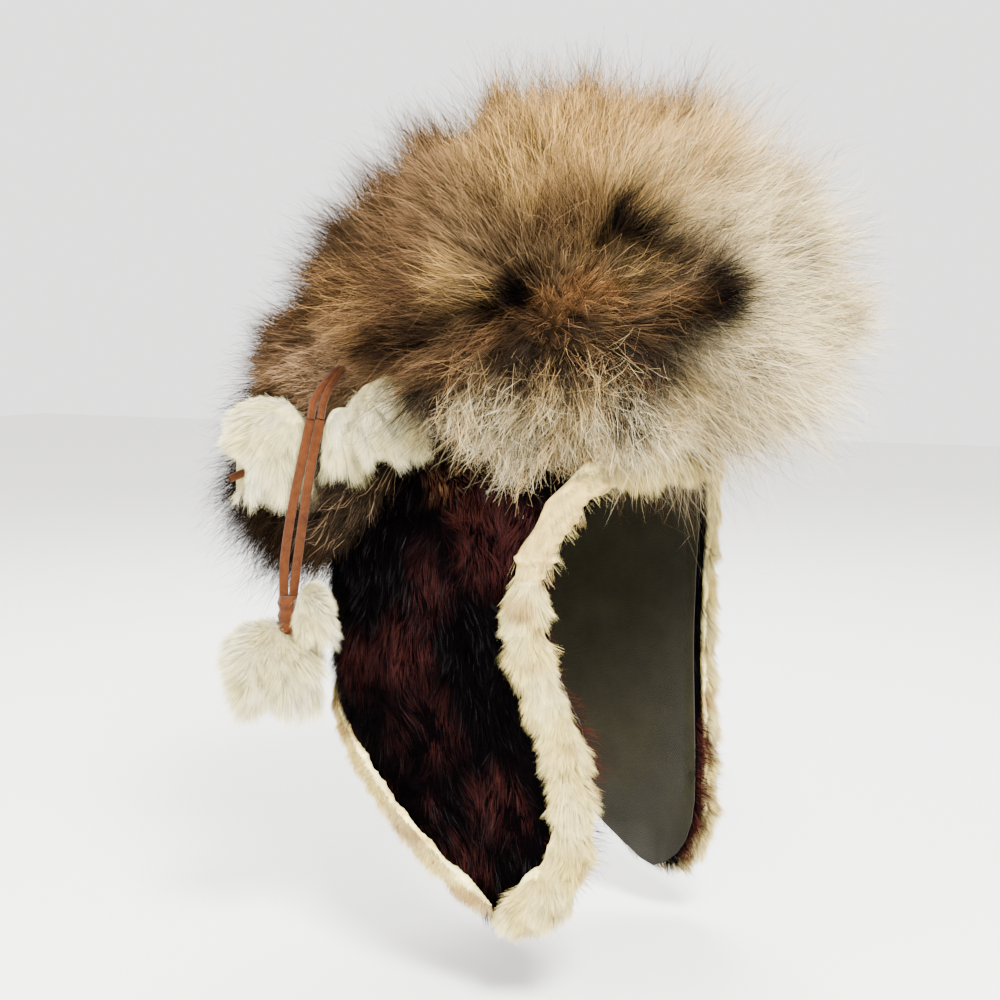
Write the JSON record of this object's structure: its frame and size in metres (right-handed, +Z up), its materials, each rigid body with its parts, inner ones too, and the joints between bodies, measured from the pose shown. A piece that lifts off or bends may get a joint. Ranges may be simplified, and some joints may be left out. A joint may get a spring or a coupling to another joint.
{
  "type": "fox pelt headdress",
  "caption": "Hood-like dark fur cap with long ear flaps, cream fur edges, a fox pelt over crown and back, and white fur tufts on suede thongs.",
  "frame": {"origin": "inside top of the crown, where the head's highest point sits", "axes": "+Z up, the face opening looks toward -Y, the wearer's left is +X and the right side with the tassels is -X"},
  "size_m": [0.2634, 0.3658, 0.4568],
  "materials": {
    "dark_fur": "glossy dark brown fur with oxblood patches",
    "lining_cloth": "matt olive-brown cloth",
    "cream_fur": "short tufty cream fur",
    "fox_fur": "long tan fur with black guard hairs",
    "white_fur": "soft white fur",
    "suede": "matt orange-tan suede"
  },
  "bodies": {
    "root": {"crown": "dark_fur", "side_panel_right": "dark_fur", "side_panel_left": "dark_fur", "lining": "lining_cloth", "face_trim": "cream_fur", "nape_trim": "cream_fur", "fox_pelt": "fox_fur", "thong_root": "suede", "thong_strand_front": "suede", "thong_strand_back": "suede", "thong_knot": "suede", "thong_tip": "suede", "tuft_upper_front_small": "white_fur", "tuft_upper_front_large": "white_fur", "tuft_upper_back": "white_fur", "tuft_lower_small": "white_fur", "tuft_lower_large": "white_fur"}
  },
  "joints": []
}
